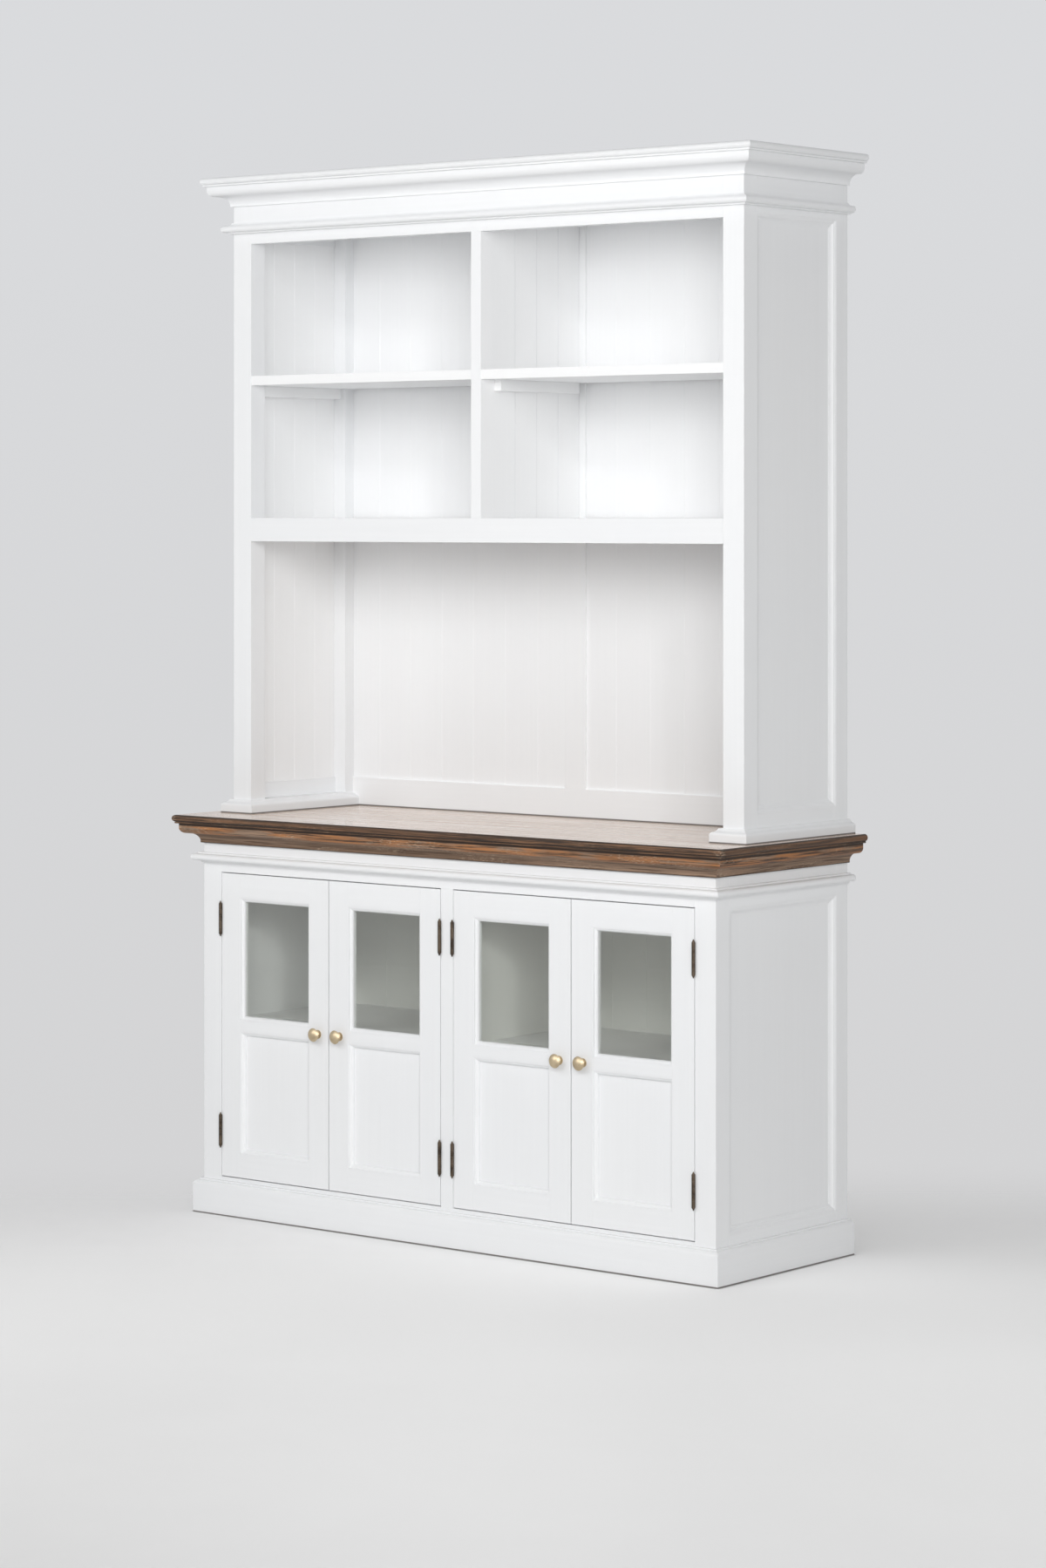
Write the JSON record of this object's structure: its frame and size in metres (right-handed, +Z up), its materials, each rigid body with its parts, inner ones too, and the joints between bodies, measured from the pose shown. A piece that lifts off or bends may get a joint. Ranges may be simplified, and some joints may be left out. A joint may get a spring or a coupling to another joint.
{
  "type": "dresser with hutch",
  "caption": "Painted base cabinet with glazed and panelled inset doors under a moulded rustic wood worktop, with an open shelved hutch and crown moulding above.",
  "frame": {"origin": "on the floor, at the middle of the overall width and depth", "axes": "+X to the right seen from the front, +Y to the back, +Z up"},
  "size_m": [1.45, 0.495, 2.2],
  "materials": {
    "white_paint": "satin white paint on wood",
    "inside_paint": "flat white paint on wood, inside the cupboards",
    "worktop_wood": "reclaimed dark stained wood, waxed",
    "knob_brass": "aged brass",
    "hinge_bronze": "dark antique bronze",
    "catch_plastic": "moulded plastic catch body",
    "plate_steel": "zinc plated steel",
    "pane_glass": "clear float glass with a bevelled edge"
  },
  "bodies": {
    "cabinet": {"base_back_boards": "inside_paint", "base_back_rails": "inside_paint", "base_bead": "white_paint", "base_floor": "inside_paint", "base_front_frame": "white_paint", "base_partition": "inside_paint", "base_shelf_cleats": "inside_paint", "base_shelves": "inside_paint", "base_side_frames": "white_paint", "base_side_mouldings": "white_paint", "base_side_panels": "white_paint", "crown_cap": "white_paint", "crown_moulding": "white_paint", "door_catches": "catch_plastic", "hinge_frame_leaves": "hinge_bronze", "hinge_pins": "hinge_bronze", "hutch_back_boards": "white_paint", "hutch_back_frame": "white_paint", "hutch_bead": "white_paint", "hutch_deck": "white_paint", "hutch_divider": "white_paint", "hutch_foot_mouldings": "white_paint", "hutch_front_rails": "white_paint", "hutch_roof": "white_paint", "hutch_shelf_cleats": "white_paint", "hutch_shelves": "white_paint", "hutch_side_frames": "white_paint", "hutch_side_linings": "white_paint", "hutch_side_mouldings": "white_paint", "hutch_side_panels": "white_paint", "joining_plates": "plate_steel", "plinth": "white_paint", "worktop_bearers": "inside_paint", "worktop_bed_moulding": "worktop_wood", "worktop_boards": "worktop_wood", "worktop_lipping": "worktop_wood"},
    "door_1": {"door_1_frame": "white_paint", "door_1_glass": "pane_glass", "door_1_hinge_leaves": "hinge_bronze", "door_1_knob": "knob_brass", "door_1_mouldings": "white_paint", "door_1_panel": "white_paint"},
    "door_2": {"door_2_frame": "white_paint", "door_2_glass": "pane_glass", "door_2_hinge_leaves": "hinge_bronze", "door_2_knob": "knob_brass", "door_2_mouldings": "white_paint", "door_2_panel": "white_paint"},
    "door_3": {"door_3_frame": "white_paint", "door_3_glass": "pane_glass", "door_3_hinge_leaves": "hinge_bronze", "door_3_knob": "knob_brass", "door_3_mouldings": "white_paint", "door_3_panel": "white_paint"},
    "door_4": {"door_4_frame": "white_paint", "door_4_glass": "pane_glass", "door_4_hinge_leaves": "hinge_bronze", "door_4_knob": "knob_brass", "door_4_mouldings": "white_paint", "door_4_panel": "white_paint"}
  },
  "joints": [
    {"name": "door_1_hinge", "type": "hinge", "parent": "cabinet", "child": "door_1", "pos_m": [-0.62225, -0.2023, 0.40175], "axis": [0, 0, -1], "range_deg": [0, 170]},
    {"name": "door_2_hinge", "type": "hinge", "parent": "cabinet", "child": "door_2", "pos_m": [-0.01675, -0.2023, 0.40175], "axis": [0, 0, 1], "range_deg": [0, 88]},
    {"name": "door_3_hinge", "type": "hinge", "parent": "cabinet", "child": "door_3", "pos_m": [0.01675, -0.2023, 0.40175], "axis": [0, 0, -1], "range_deg": [0, 88]},
    {"name": "door_4_hinge", "type": "hinge", "parent": "cabinet", "child": "door_4", "pos_m": [0.62225, -0.2023, 0.40175], "axis": [0, 0, 1], "range_deg": [0, 170]}
  ]
}
